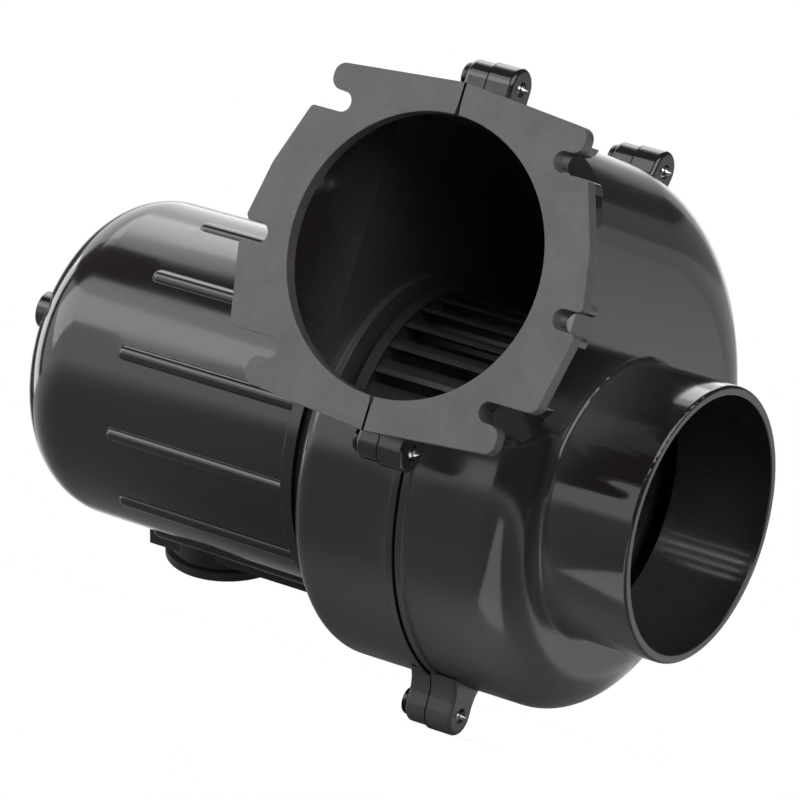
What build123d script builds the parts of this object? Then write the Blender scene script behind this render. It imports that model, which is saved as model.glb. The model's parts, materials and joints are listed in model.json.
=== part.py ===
from build123d import *
from math import atan2, cos, degrees, pi, radians, sin
import os

# Flange-mount centrifugal blower for 3-inch hose. Millimetres.
# Origin: centre of the outlet bore on the face of the mounting flange.
# +X runs along the fan shaft towards the inlet spigot, -Y is the way the air leaves, +Z is up.

# Places of the main axes and faces
SHAFT_BACK = 77.0            # fan shaft behind the flange face
SHAFT_DROP = 45.8            # fan shaft below the outlet bore centre
MOTOR_FACE_X = -35.0         # outside face of the scroll on the motor side
INLET_FACE_X = 36.0          # outside face of the scroll on the inlet side
WALL = 2.5                   # moulded wall of the scroll, duct and cover

# Scroll, outside distances from the shaft, going front, bottom, back, top
SCROLL_FRONT = 50.0
SCROLL_BOTTOM = 60.0
SCROLL_BACK = 75.0
SCROLL_TOP = 87.0
ROUND_MOTOR_SIDE = 6.5       # outside rounding of the motor-side edge
ROUND_FRONT = 11.5           # outside rounding of the inlet-side edge, front of the scroll
ROUND_BOTTOM = 13.5
ROUND_BACK = 20.0
ROUND_TOP = 24.0
RING_DEPTH = 28.0            # radial depth of the swept ring that carries the roundings
RING_LEAD = 11.0             # straight start of the ring above the shaft level
LAP = 1.0                    # overlap between forms that are joined into one moulding

# Outlet duct and flange
BORE_R = 38.0
DUCT_WALL = 3.0
DUCT_MERGE_Y = 27.0          # where the round duct has become the scroll's square throat
FLANGE_T = 4.0
COLLAR_DEPTH = 8.0           # depth of the thick collars around the screw slots
COLLAR_WALL = 2.8
SLOT_W = 5.6
CORNER_SLOT_X = 34.3         # centre of the closed end of the corner slots
CORNER_SLOT_Z = 33.6
MIDDLE_SLOT_X = 47.3         # centre of the closed end of the middle slots
MIDDLE_SLOT_Z = -5.4
EAR_X = 39.0                 # reach of the four corner ears
TOP_EDGE_Z = 46.8            # flange edge at the parting line, top
BOTTOM_EDGE_Z = 47.3         # and bottom, below the bore centre
EAR_ROUND = 3.2
SHOULDER_X = 42.8            # flange corner beside each corner slot
WAIST_X = 49.3               # bend in the upper side edge
WAIST_Z = 13.5
SIDE_X = 52.5                # widest point, at the middle slots
HIP_X = 47.6                 # flange corner above each lower slot
EDGE_FALL = 3.4              # fall of the top and bottom edges from the middle to the ears
TIP_ROUND = 1.4
WAIST_ROUND = 6.0
END_ROUND_LESS = 0.01        # flat left between the two corner arcs of a slot's closed end
SEAM_GROOVE = 0.5
NOTCH_W = 0.9
NOTCH_L = 5.0
NOTCH_DEEP = 2.0
NOTCH_LAP = 1.0              # start of the notch inside the bore
BLOCK = 500.0                # size of the blocks that cut the mouldings apart

# Inlet spigot
SPIGOT_R = 38.1
SPIGOT_L = 27.2
SPIGOT_WALL = 2.6
SPIGOT_LIP = 0.8
SPIGOT_FLARE = 1.2

# Parting seam and its screw lugs
BEAD_UP = 1.2                # height of the seam bead over the wall
BEAD_W = 2.2
BEAD_SMALL = 0.6             # lower bead of the inlet half as a share of the other
LUG_INLET = 8.0              # thickness of a lug on the inlet half
LUG_MOTOR = 6.8              # and on the motor half
LUG_R = 5.6
LUG_OUT = 8.2                # screw centre outside the wall
LUG_FOOT = 3.2               # widening of a lug at the wall
LUG_EDGE = 1.1               # rounding of the outer ends of a lug
LUG_HOLLOW = 0.25            # bend of a lug's hollow flanks, as a share of the foot
LUG_STEP = 0.5               # the motor half of a lug is smaller all round by this
SCREW_R = 2.0
SCREW_CLEAR = 0.25
PILOT_CLEAR = 0.06
SCREW_HEAD_R = 3.9
SCREW_HEAD_T = 2.4
SCREW_POINT = 2.6
SCREW_TIP_SHARE = 0.12
SCREW_OUT = 1.9              # screw point beyond the lug
HEAD_CROWN = 0.35            # crown and recess of a screw head as a share of its height
CROSS_L = 3.0                # cross recess of a screw head
CROSS_W = 0.8
LUG_DUCT_Y = 15.0            # the two lugs on the duct, behind the flange face
LUG_ANGLES = (93.0, 172.0, 253.5)   # lugs round the scroll, from the front going down

# Motor cover
COVER_R_REAR = 44.5
COVER_R_RIM = 45.4
COVER_GAP = 1.5              # groove between cover and scroll that holds the seal
COVER_REAR_X = -133.5
COVER_REAR_ROUND = 18.0
COVER_RIM_UP = 1.3
COVER_RIM_W = 3.6
RIB_START_X = -96.5
RIB_R = 2.2
RIB_UP = 1.35
RIB_COUNT = 12
PAD_ANGLE = 121.0            # direction of the lead pad, from the front going down
PAD_HALF_W = 15.5
PAD_REACH = 47.6             # pad face from the shaft axis
PAD_START_X = -105.9
PAD_BOSS = 2.6               # round boss on the pad, under the lead cap
CAP_X = -90.0
CAP_R = 17.8
CAP_T = 2.8
CAP_LIP = 1.2                # overhang of the cap round its boss
CAP_RIM = 3.6
CAP_RECESS = 0.8
CAP_NECK_L = 9.0
CAP_NECK_R = 9.0
LEAD_HOLE_R = 1.6
LEAD_SPACING = 7.0
SOCKET_WALL = 2.4            # ring inside the cover that holds the motor boot
SOCKET_L = 27.0

# Long screws that hold the cover
POST_R = 5.2
POST_CLEAR = 0.4             # between the motor boot and the posts for the cover screws
COVER_SCREW_R = 2.0
COVER_SCREW_HEAD_R = 4.0
COVER_SCREW_HEAD_T = 1.7
COVER_SCREW_ANGLE = -8.0
COVER_SCREW_SINK = 3.4       # depth of the flat seat below the rear face
POST_GAP = 0.3
BOSS_L = 12.0
REGISTER_L = 5.0             # ring on the scroll that centres the cover
SEAL_SINK = 0.4

# Motor seat on the scroll
SEAT_R = 44.8                # raised disc inside the scroll behind the fan wheel
SEAT_UP = 2.0
NOSE_HOLE_R = 12.0
MOTOR_SCREW_OFF = 18.0
MOTOR_SCREW_ANGLE = 45.0
MOTOR_SCREW_R = 2.0
MOTOR_SCREW_HEAD_R = 3.6
MOTOR_SCREW_HEAD_T = 2.2
MOTOR_SCREW_GRIP = 5.0
MOTOR_GASKET_T = 1.5

# Motor
CAN_R = 26.0
CAN_WALL = 1.4
CAN_L = 70.0
END_CAP_T = 6.0
END_CAP_SPIGOT = 3.5
REAR_CAP_T = 3.0
FIT = 0.05                   # small clearance between nested fixed pieces
SHAFT_R = 3.0
RUN_FIT = 0.03               # radial clearance of the shaft in its bearings
BEARING_R = 7.0
BEARING_L = 8.0
BOSS_WALL = 2.2
NOSE_OUT = 2.5               # bearing nose in front of the motor
CAP_END_WALL = 1.2
SHAFT_TAIL = 0.8
SHAFT_FRONT_X = -7.5
SHAFT_LEAD = 0.6
SLOT_SPREAD = 1.45
MAGNET_T = 5.6
MAGNET_L = 38.0
MAGNET_SPAN = 132.0
AIR_GAP = 0.8
MAGNET_FRONT = 12.0          # magnets behind the front end of the can
CLIP_T = 0.8
CLIP_SHARE = 0.8
CORE_L = 30.0
CORE_TEETH = 10
TOOTH_GAP = 2.4
CORE_HUB_R = 7.5
YOKE_R = 9.5
WINDING_R = 15.6
WINDING_OVER = 6.5
WINDING_GAP = 0.25
COMM_R = 8.6
COMM_L = 11.0
COMM_BARS = 10
COMM_SLOT = 0.7
COMM_SLOT_DEEP = 1.2
PRESS_GAP = 0.02
BRUSH_W = 4.6
BRUSH_H = 6.4
BRUSH_L = 7.5
BRUSH_GAP = 0.25
HOLDER_WALL = 0.8
HOLDER_GAP = 1.8             # between a closed holder end and the can
BRUSH_PLATE_T = 1.6
SPRING_T = 0.4
SPRING_W = 3.0
SPRING_FOLDS = 5
TERMINAL_W = 4.8
TERMINAL_T = 0.8
TERMINAL_L = 8.0
TERMINAL_OFF = 16.0
BOOT_WALL = 3.4
BOOT_L = 12.0
WASHER_R = 4.6
WASHER_T = 0.6
END_PLAY = 0.25

# Fan wheel
WHEEL_R = 42.0
BLADE_IN_R = 34.6
BLADES = 32
BLADE_T = 1.55
BLADE_LEAD = 5.5             # degrees that the blade tip leads its root
BLADE_BELLY = 3.9            # degrees that the blade's middle lies behind a straight blade
BLADE_STEPS = 5
WHEEL_BACK_X = -24.0         # inner face of the back disc, where the blades start
DISC_T = 2.0
WHEEL_FRONT_X = 26.0
RIM_W = 2.6
RIM_UP = 0.6
RIM_T = 0.9
HUB_R = 9.0
HUB_L = 17.0
HUB_TAPER = 1.0
HUB_CONE_R = 22.0
HUB_CONE_L = 7.0
INSERT_R = 5.2
CLIP_R = 5.0
CLIP_RING_T = 0.7


def on_shaft(x):
    """Plane across the shaft axis at x, with local x to the back and local y up."""
    return Plane(origin=(x, SHAFT_BACK, -SHAFT_DROP), x_dir=(0, 1, 0), z_dir=(1, 0, 0))


def on_side(x):
    """Plane at x with world Y and Z as its axes."""
    return Plane(origin=(x, 0, 0), x_dir=(0, 1, 0), z_dir=(1, 0, 0))


def across(y):
    """Plane at y facing the back, with local x to -X and local y up."""
    return Plane(origin=(0, y, 0), x_dir=(-1, 0, 0), z_dir=(0, 1, 0))


def round_bar(r, x0, x1):
    """Cylinder along the shaft axis from x0 to x1."""
    return extrude(on_shaft(x0) * Circle(r), x1 - x0)


def ring_bar(r_out, r_in, x0, x1):
    """Tube along the shaft axis from x0 to x1."""
    return extrude(on_shaft(x0) * (Circle(r_out) - Circle(r_in)), x1 - x0)


def bar_at(y, z, r, x0, x1):
    """Cylinder along X through (y, z)."""
    return extrude(on_side(x0) * Pos(y, z) * Circle(r), x1 - x0)


def around(angle, dist):
    """Local (back, up) offset from the shaft at an angle from the front, going down."""
    return -dist * cos(radians(angle)), -dist * sin(radians(angle))


def turned_about_shaft(points):
    """Solid of revolution about the shaft from (x, radius) points."""
    outline = Plane.XZ * make_face(Polyline(*points, close=True))
    return Pos(0, SHAFT_BACK, -SHAFT_DROP) * revolve(outline, Axis.X)


# Scroll

def scroll_arcs(inset):
    """The three tangent arcs of the scroll outline in local shaft coordinates."""
    front = SCROLL_FRONT - inset
    first = SCROLL_BOTTOM - inset
    arc_1 = JernArc((-front, 0), (0, -1), first, 90)
    second = SCROLL_BACK - inset - (first - front)
    arc_2 = JernArc(arc_1 @ 1, arc_1 % 1, second, 90)
    third = SCROLL_TOP - inset - (second - first)
    arc_3 = JernArc(arc_2 @ 1, arc_2 % 1, third, 90)
    return arc_1, arc_2, arc_3


def ring_section(point, tangent, r_inlet, inset):
    """Closed section of the scroll's outer ring, square to its path."""
    r_motor = ROUND_MOTOR_SIDE - inset
    r_inlet = r_inlet - inset
    low = MOTOR_FACE_X + inset
    high = INLET_FACE_X - inset
    inward = tangent.cross(Vector(0, 0, 1)) * -1
    plane = Plane(origin=point, x_dir=inward, z_dir=tangent)
    bottom = Line((0, low + r_motor), (0, high - r_inlet))
    inlet_round = RadiusArc((0, high - r_inlet), (r_inlet, high), r_inlet)
    top = Polyline((r_inlet, high), (RING_DEPTH, high), (RING_DEPTH, low), (r_motor, low))
    motor_round = RadiusArc((r_motor, low), (0, low + r_motor), r_motor)
    return plane * make_face([bottom, inlet_round, top, motor_round])


def throat_section(y, inset):
    """Rounded rectangle of the throat across Y, in the plane at y."""
    left = INLET_FACE_X - inset
    right = MOTOR_FACE_X + inset
    top = SCROLL_TOP - SHAFT_DROP - inset
    low = BORE_R + DUCT_WALL - inset
    small = ROUND_MOTOR_SIDE - inset
    lines = FilletPolyline(
        (-left, top), (-left, -low), (-right, -low), (-right, top),
        radius=[ROUND_TOP - inset, ROUND_FRONT - inset, small, small], close=True,
    )
    return across(y) * make_face(lines)


def scroll_form(inset):
    """Scroll and throat as one solid; an inset gives the cavity."""
    arc_1, arc_2, arc_3 = scroll_arcs(inset)
    stops = [
        (arc_1 @ 0, arc_1 % 0, ROUND_FRONT),
        (arc_2 @ 0, arc_2 % 0, ROUND_BOTTOM),
        (arc_3 @ 0, arc_3 % 0, ROUND_BACK),
        (arc_3 @ 1, arc_3 % 1, ROUND_TOP),
    ]
    sections = [ring_section(point, tangent, r, inset) for point, tangent, r in stops]
    ring = sweep(sections, path=Wire([arc_1.edge(), arc_2.edge(), arc_3.edge()]), multisection=True)
    lead = extrude(sections[0], RING_LEAD, dir=(0, 1, 0))
    inner = scroll_arcs(inset + RING_DEPTH - LAP)
    start = inner[0] @ 0
    core_face = make_face([*inner, Polyline(inner[2] @ 1, (start.X, RING_LEAD), start)])
    core = extrude(on_shaft(MOTOR_FACE_X + inset) * core_face, INLET_FACE_X - MOTOR_FACE_X - 2 * inset)
    arc_end = SHAFT_BACK + (arc_3 @ 1).X
    throat = extrude(throat_section(DUCT_MERGE_Y, inset), arc_end - DUCT_MERGE_Y)
    return core + on_shaft(0) * ring + on_shaft(0) * lead + throat


def duct_form(inset):
    """Round duct behind the flange, blending into the square throat."""
    round_end = across(FLANGE_T) * Circle(BORE_R + DUCT_WALL - inset)
    blend = loft([round_end.face(), throat_section(DUCT_MERGE_Y, inset).face()])
    return blend + extrude(across(0) * Circle(BORE_R + DUCT_WALL - inset), FLANGE_T)


# Flange

def slot_shape(x, z, width, reach):
    """Open-ended slot from its round closed end outwards."""
    side = 1 if x > 0 else -1
    straight = Pos(x + side * reach / 2, z) * Rectangle(reach, width)
    return Pos(x, z) * Circle(width / 2) + straight


def slot_places():
    """Centres of the closed ends of the six screw slots on the flange face."""
    places = []
    for side in (-1, 1):
        places += [
            (side * CORNER_SLOT_X, CORNER_SLOT_Z),
            (side * MIDDLE_SLOT_X, MIDDLE_SLOT_Z),
            (side * CORNER_SLOT_X, -CORNER_SLOT_Z),
        ]
    return places


def flange_outline():
    """Corner points of the flange outline in world X and Z, each with its corner radius."""
    slot_top = CORNER_SLOT_Z + SLOT_W / 2
    slot_low = CORNER_SLOT_Z - SLOT_W / 2
    slot_end = CORNER_SLOT_X - SLOT_W / 2
    middle_top = MIDDLE_SLOT_Z + SLOT_W / 2
    middle_low = MIDDLE_SLOT_Z - SLOT_W / 2
    middle_end = MIDDLE_SLOT_X - SLOT_W / 2
    end_round = SLOT_W / 2 - END_ROUND_LESS
    right = [
        (EAR_X, TOP_EDGE_Z - EDGE_FALL, EAR_ROUND),
        (EAR_X, slot_top, EAR_ROUND),
        (slot_end, slot_top, end_round),
        (slot_end, slot_low, end_round),
        (SHOULDER_X, slot_low, TIP_ROUND),
        (WAIST_X, WAIST_Z, WAIST_ROUND),
        (SIDE_X, middle_top, TIP_ROUND),
        (middle_end, middle_top, end_round),
        (middle_end, middle_low, end_round),
        (SIDE_X, middle_low, TIP_ROUND),
        (HIP_X, -slot_low, EAR_ROUND),
        (slot_end, -slot_low, end_round),
        (slot_end, -slot_top, end_round),
        (EAR_X, -slot_top, EAR_ROUND),
        (EAR_X, -BOTTOM_EDGE_Z + EDGE_FALL, EAR_ROUND),
    ]
    left = [(-x, z, r) for x, z, r in reversed(right)]
    return [(0, TOP_EDGE_Z, WAIST_ROUND)] + right + [(0, -BOTTOM_EDGE_Z, WAIST_ROUND)] + left


def flange_form():
    """Flange plate with its slots and the thick collars behind them."""
    outline = flange_outline()
    points = [(-x, z) for x, z, r in outline]
    plate = make_face(FilletPolyline(*points, radius=[r for x, z, r in outline], close=True))
    collar_w = SLOT_W + 2 * COLLAR_WALL
    collars = Sketch() + [slot_shape(x, z, collar_w, SIDE_X) for x, z in slot_places()]
    thick = collars & plate
    return extrude(across(0) * plate, FLANGE_T) + extrude(across(0) * thick, COLLAR_DEPTH)


# Seam, lugs and screws of the two halves

def scroll_reach(angle):
    """Outside distance of the scroll from the shaft at an angle from the front, going down."""
    arcs = scroll_arcs(0)
    starts = [atan2(-(arc @ 1).Y, -(arc @ 1).X) for arc in arcs[:2]]
    turn = radians(angle)
    number = sum(turn > start % (2 * pi) for start in starts)
    arc = arcs[number].edge()
    centre = arc.arc_center
    along = -cos(turn) * centre.X - sin(turn) * centre.Y
    return along + (along ** 2 - centre.X ** 2 - centre.Y ** 2 + arc.radius ** 2) ** 0.5


def lug_places():
    """World (y, z) of each lug's screw and the (y, z) direction that the lug points in."""
    places = [
        (LUG_DUCT_Y, -BORE_R - DUCT_WALL - LUG_OUT, 0, -1),
        (LUG_DUCT_Y, SCROLL_TOP - SHAFT_DROP + LUG_OUT, 0, 1),
    ]
    for angle in LUG_ANGLES:
        y, z = around(angle, scroll_reach(angle) + LUG_OUT)
        places.append((SHAFT_BACK + y, z - SHAFT_DROP, -cos(radians(angle)), -sin(radians(angle))))
    return places


def lug_shape(y, z, out_y, out_z, r):
    """Lug outline: a rounded tab of radius r with hollow flanks that widen into the wall behind it."""
    turn = degrees(atan2(out_z, out_y))
    root = LUG_OUT + DUCT_WALL / 2
    foot = r + LUG_FOOT
    waist = r + LUG_FOOT * LUG_HOLLOW
    lines = [
        ThreePointArc((0, -r), (r, 0), (0, r)),
        Line((0, r), (-root / 3, r)),
        ThreePointArc((-root / 3, r), (-root * 2 / 3, waist), (-root, foot)),
        Line((-root, foot), (-root, -foot)),
        ThreePointArc((-root, -foot), (-root * 2 / 3, -waist), (-root / 3, -r)),
        Line((-root / 3, -r), (0, -r)),
    ]
    return Pos(y, z) * Rot(0, 0, turn) * make_face(lines)


def lug_half(place, r, reach):
    """One half of a lug from the parting plane out to a reach along X, with a rounded outer end."""
    tab = extrude(on_side(0) * lug_shape(*place, r), reach)
    ends = tab.edges().filter_by_position(Axis.X, reach, reach)
    curved = ends.filter_by(GeomType.CIRCLE).sort_by(lambda edge: abs(edge.radius - r))[0]
    return fillet(curved, LUG_EDGE)


def lug_halves(r, reach):
    """The five lug halves on one side of the parting plane."""
    return Part() + [lug_half(place, r, reach) for place in lug_places()]


def screw_holes(radius, x0, x1):
    """Holes for the five lug screws."""
    return Part() + [bar_at(y, z, radius, x0, x1) for y, z, out_y, out_z in lug_places()]


def seam_bead(rise, x0, x1):
    """Raised bead along the parting line, as a solid slice that the cavity later hollows."""
    arcs = scroll_arcs(-rise)
    start = arcs[0] @ 0
    end = arcs[2] @ 1
    scroll = make_face([*arcs, Line(end, start)])
    back = end.X
    front = FLANGE_T - SHAFT_BACK
    low = SHAFT_DROP - BORE_R - DUCT_WALL - rise
    high = end.Y
    duct = Pos((front + back) / 2, (low + high) / 2) * Rectangle(back - front, high - low)
    corner = Pos(start.X / 2, RING_LEAD / 2) * Rectangle(-start.X, RING_LEAD)
    return extrude(on_shaft(x0) * (scroll + duct + corner), x1 - x0)


def screw_solid(y, z, radius, head_x, head_r, head_t, end_x, point):
    """Screw along X with its head at head_x and its end at end_x; a point is a cone."""
    side = 1 if end_x > head_x else -1
    shank = bar_at(y, z, radius, head_x, end_x - side * point)
    head = bar_at(y, z, head_r, head_x - side * head_t, head_x)
    head = fillet(head.edges().sort_by(Axis.X)[-1 if side < 0 else 0], head_t * HEAD_CROWN)
    cross = Rectangle(CROSS_L, CROSS_W) + Rectangle(CROSS_W, CROSS_L)
    top = on_side(head_x - side * head_t) * Pos(y, z)
    screw = shank + head - extrude(top * cross, side * head_t * HEAD_CROWN)
    if point:
        wide = on_side(end_x - side * point) * Pos(y, z) * Circle(radius)
        narrow = on_side(end_x) * Pos(y, z) * Circle(radius * SCREW_TIP_SHARE)
        screw += loft([wide.face(), narrow.face()])
    return screw


# Moulded halves

def outside_form():
    """Scroll, duct and flange of both halves together, solid."""
    return scroll_form(0) + duct_form(0) + flange_form()


def cavity_form():
    """Everything that the two halves close in."""
    return scroll_form(WALL) + duct_form(DUCT_WALL)


def half_space(side):
    """Large block on one side of the parting plane."""
    return Pos(side * BLOCK / 2, 0, 0) * Box(BLOCK, BLOCK, BLOCK)


def seam_cuts():
    """Fine groove where the halves meet on the flange face, wider beside the bore."""
    groove = Box(SEAM_GROOVE, 2 * SEAM_GROOVE, 2 * BOTTOM_EDGE_Z + LAP)
    start = BORE_R - NOTCH_LAP
    notch = make_face(Polyline((-NOTCH_W, start), (NOTCH_W, start), (0, BORE_R + NOTCH_L), close=True))
    top = extrude(across(-LAP) * notch, LAP + NOTCH_DEEP)
    bottom = mirror(top, Plane.XY)
    return groove + top + bottom


def spigot_form():
    """Inlet spigot with its flared root and rounded mouth."""
    root = INLET_FACE_X - WALL
    face = INLET_FACE_X
    mouth = INLET_FACE_X + SPIGOT_L
    inner = SPIGOT_R - SPIGOT_WALL
    flare = SPIGOT_R + SPIGOT_FLARE
    bend = SPIGOT_FLARE * (1 - cos(pi / 4))
    foot = (face + SPIGOT_FLARE, SPIGOT_R)
    lines = [
        Polyline((root, inner), (root, flare), (face, flare)),
        ThreePointArc((face, flare), (face + bend, SPIGOT_R + bend), foot),
        Line(foot, (mouth - SPIGOT_LIP, SPIGOT_R)),
        RadiusArc((mouth - SPIGOT_LIP, SPIGOT_R), (mouth, SPIGOT_R - SPIGOT_LIP), SPIGOT_LIP),
        Line((mouth, SPIGOT_R - SPIGOT_LIP), (mouth, inner + SPIGOT_LIP / 2)),
        RadiusArc((mouth, inner + SPIGOT_LIP / 2), (mouth - SPIGOT_LIP / 2, inner), SPIGOT_LIP / 2),
        Line((mouth - SPIGOT_LIP / 2, inner), (root, inner)),
    ]
    return Pos(0, SHAFT_BACK, -SHAFT_DROP) * revolve(Plane.XZ * make_face(lines), Axis.X)


def make_inlet_housing(outside, cavity):
    """Half of the scroll, duct and flange that carries the spigot."""
    half = outside & half_space(1)
    half += seam_bead(BEAD_UP * BEAD_SMALL, 0, BEAD_W)
    half += lug_halves(LUG_R, LUG_INLET)
    half += spigot_form()
    half -= cavity
    half -= round_bar(SPIGOT_R - SPIGOT_WALL, 0, INLET_FACE_X + SPIGOT_L / 2)
    half -= screw_holes(SCREW_R + PILOT_CLEAR, -LUG_MOTOR, 2 * LUG_INLET)
    return half - seam_cuts()


def motor_screw_places():
    """World (y, z) of the two screws that hold the motor."""
    places = []
    for angle in (MOTOR_SCREW_ANGLE, MOTOR_SCREW_ANGLE + 180):
        y, z = around(angle, MOTOR_SCREW_OFF)
        places.append((SHAFT_BACK + y, z - SHAFT_DROP))
    return places


def cover_screw_places():
    """World (y, z) of the two long screws that hold the motor cover."""
    places = []
    for angle in (COVER_SCREW_ANGLE, COVER_SCREW_ANGLE + 180):
        y, z = around(angle, COVER_SCREW_OFF)
        places.append((SHAFT_BACK + y, z - SHAFT_DROP))
    return places


def make_motor_housing(outside, cavity):
    """Half of the scroll, duct and flange that carries the motor."""
    half = outside & half_space(-1)
    half += seam_bead(BEAD_UP, -BEAD_W, 0)
    half += lug_halves(LUG_R - LUG_STEP, -LUG_MOTOR)
    register_r = COVER_R_RIM - WALL - POST_GAP
    half += ring_bar(register_r, register_r - WALL, MOTOR_FACE_X - REGISTER_L, MOTOR_FACE_X + WALL)
    for y, z in cover_screw_places():
        half += bar_at(y, z, POST_R, MOTOR_FACE_X - BOSS_L, MOTOR_FACE_X + WALL)
    half -= cavity
    half += round_bar(SEAT_R, MOTOR_FACE_X + WALL, MOTOR_FACE_X + WALL + SEAT_UP)
    half -= round_bar(NOSE_HOLE_R, MOTOR_FACE_X - WALL, MOTOR_FACE_X + 3 * WALL)
    for y, z in motor_screw_places():
        half -= bar_at(y, z, MOTOR_SCREW_R + SCREW_CLEAR, MOTOR_FACE_X - WALL, MOTOR_FACE_X + 3 * WALL)
    for y, z in cover_screw_places():
        hole_end = MOTOR_FACE_X + WALL / 2
        half -= bar_at(y, z, COVER_SCREW_R + PILOT_CLEAR, MOTOR_FACE_X - 2 * BOSS_L, hole_end)
    half -= screw_holes(SCREW_R + SCREW_CLEAR, -2 * LUG_MOTOR, LUG_INLET)
    return half - seam_cuts()


def make_housing_screws():
    """Self-tapping screws whose points stand out of the inlet-side lugs."""
    end = LUG_INLET + SCREW_OUT
    return [
        screw_solid(y, z, SCREW_R, -LUG_MOTOR, SCREW_HEAD_R, SCREW_HEAD_T, end, SCREW_POINT)
        for y, z, out_y, out_z in lug_places()
    ]


# Motor cover

COVER_RIM_X = MOTOR_FACE_X - COVER_GAP
BOOT_R = CAN_R + FIT + BOOT_WALL
COVER_SCREW_OFF = BOOT_R + POST_CLEAR + POST_R


def cover_radius(x):
    """Outside radius of the drafted cover at x."""
    share = (COVER_RIM_X - x) / (COVER_RIM_X - COVER_REAR_X)
    return COVER_R_RIM + (COVER_R_REAR - COVER_R_RIM) * share


def cover_cup(inset):
    """Solid cup of the cover's outside, or of its inside with an inset."""
    round_r = COVER_REAR_ROUND - inset
    rear = COVER_REAR_X + inset
    side_x = rear + round_r
    side_r = cover_radius(side_x) - inset
    lines = [
        Polyline((rear, 0), (COVER_RIM_X, 0), (COVER_RIM_X, COVER_R_RIM - inset), (side_x, side_r)),
        RadiusArc((side_x, side_r), (rear, side_r - round_r), -round_r),
        Line((rear, side_r - round_r), (rear, 0)),
    ]
    return Pos(0, SHAFT_BACK, -SHAFT_DROP) * revolve(Plane.XZ * make_face(lines), Axis.X)


def cover_rib(angle):
    """Raised round rib along the cover, with a round start."""
    sink = RIB_UP - RIB_R
    start = Vector(RIB_START_X, 0, cover_radius(RIB_START_X) + sink)
    end = Vector(COVER_RIM_X - COVER_RIM_W / 2, 0, cover_radius(COVER_RIM_X) + sink)
    along = end - start
    bar = extrude(Plane(origin=start, z_dir=along) * Circle(RIB_R), along.length)
    rib = bar + Pos(*start) * Sphere(RIB_R)
    return Pos(0, SHAFT_BACK, -SHAFT_DROP) * Rot(angle + 90, 0, 0) * rib


def pad_plane(x, reach):
    """Plane on the lead pad: its normal points away from the shaft, its x along the cover."""
    y, z = around(PAD_ANGLE, reach)
    return Plane(
        origin=(x, SHAFT_BACK + y, z - SHAFT_DROP),
        x_dir=(1, 0, 0),
        z_dir=(0, *around(PAD_ANGLE, 1)),
    )


def make_motor_cover():
    """Ribbed cup over the motor, with the lead pad below and the posts for its screws inside."""
    inside = cover_cup(WALL)
    cover = cover_cup(0)
    rim_r = COVER_R_RIM + COVER_RIM_UP
    cover += ring_bar(rim_r, COVER_R_RIM / 2, COVER_RIM_X - COVER_RIM_W, COVER_RIM_X)
    angles = [number * 360 / RIB_COUNT for number in range(RIB_COUNT)]
    cover += [cover_rib(angle) for angle in angles if abs(angle - PAD_ANGLE) > 180 / RIB_COUNT]
    pad_l = COVER_RIM_X - PAD_START_X
    pad = pad_plane(PAD_START_X + pad_l / 2, 0) * Rectangle(pad_l, 2 * PAD_HALF_W)
    cover += extrude(pad, PAD_REACH)
    cover += extrude(pad_plane(CAP_X, 0) * Circle(CAP_R - CAP_LIP), PAD_REACH + PAD_BOSS)
    cover -= inside
    rear_inside = COVER_REAR_X + WALL
    socket_in = BOOT_R + FIT
    cover += ring_bar(socket_in + SOCKET_WALL, socket_in, rear_inside, rear_inside + SOCKET_L)
    post_end = MOTOR_FACE_X - BOSS_L - POST_GAP
    for y, z in cover_screw_places():
        cover += bar_at(y, z, POST_R, rear_inside, post_end)
        cover -= bar_at(y, z, COVER_SCREW_R + SCREW_CLEAR, COVER_REAR_X, post_end + LAP)
        seat_x = COVER_REAR_X + COVER_SCREW_SINK
        cover -= bar_at(y, z, COVER_SCREW_HEAD_R + SCREW_CLEAR, COVER_REAR_X, seat_x)
    cover -= extrude(pad_plane(CAP_X, SHAFT_R) * Circle(CAP_NECK_R + FIT), PAD_REACH * 2)
    return cover


def make_lead_cap():
    """Rubber cap over the opening in the pad, with two passages for the leads."""
    face = PAD_REACH + PAD_BOSS
    flange = extrude(pad_plane(CAP_X, face) * Circle(CAP_R), CAP_T)
    top_edge = flange.edges().filter_by(GeomType.CIRCLE).sort_by(Axis.Z)[0]
    flange = fillet(top_edge, CAP_T / 3)
    neck = extrude(pad_plane(CAP_X, face - CAP_NECK_L) * Circle(CAP_NECK_R), CAP_NECK_L)
    cap = flange + neck
    cap -= extrude(pad_plane(CAP_X, face + CAP_T - CAP_RECESS) * Circle(CAP_R - CAP_RIM), CAP_T)
    for side in (-1, 1):
        hole = pad_plane(CAP_X, 0) * Pos(side * LEAD_SPACING / 2, 0) * Circle(LEAD_HOLE_R)
        cap -= extrude(hole, PAD_REACH * 2)
    return cap


def make_cover_seal():
    """Seal in the groove between the cover and the scroll."""
    outer = COVER_R_RIM - SEAL_SINK
    return ring_bar(outer, COVER_R_RIM - WALL, COVER_RIM_X, MOTOR_FACE_X)


def make_cover_screws():
    """Long screws from the rear of the cover into the scroll's bosses."""
    head_x = COVER_REAR_X + COVER_SCREW_SINK
    return [
        screw_solid(y, z, COVER_SCREW_R, head_x, COVER_SCREW_HEAD_R, COVER_SCREW_HEAD_T,
                    MOTOR_FACE_X - WALL / 2, 0)
        for y, z in cover_screw_places()
    ]


# Motor, fixed pieces

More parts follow.
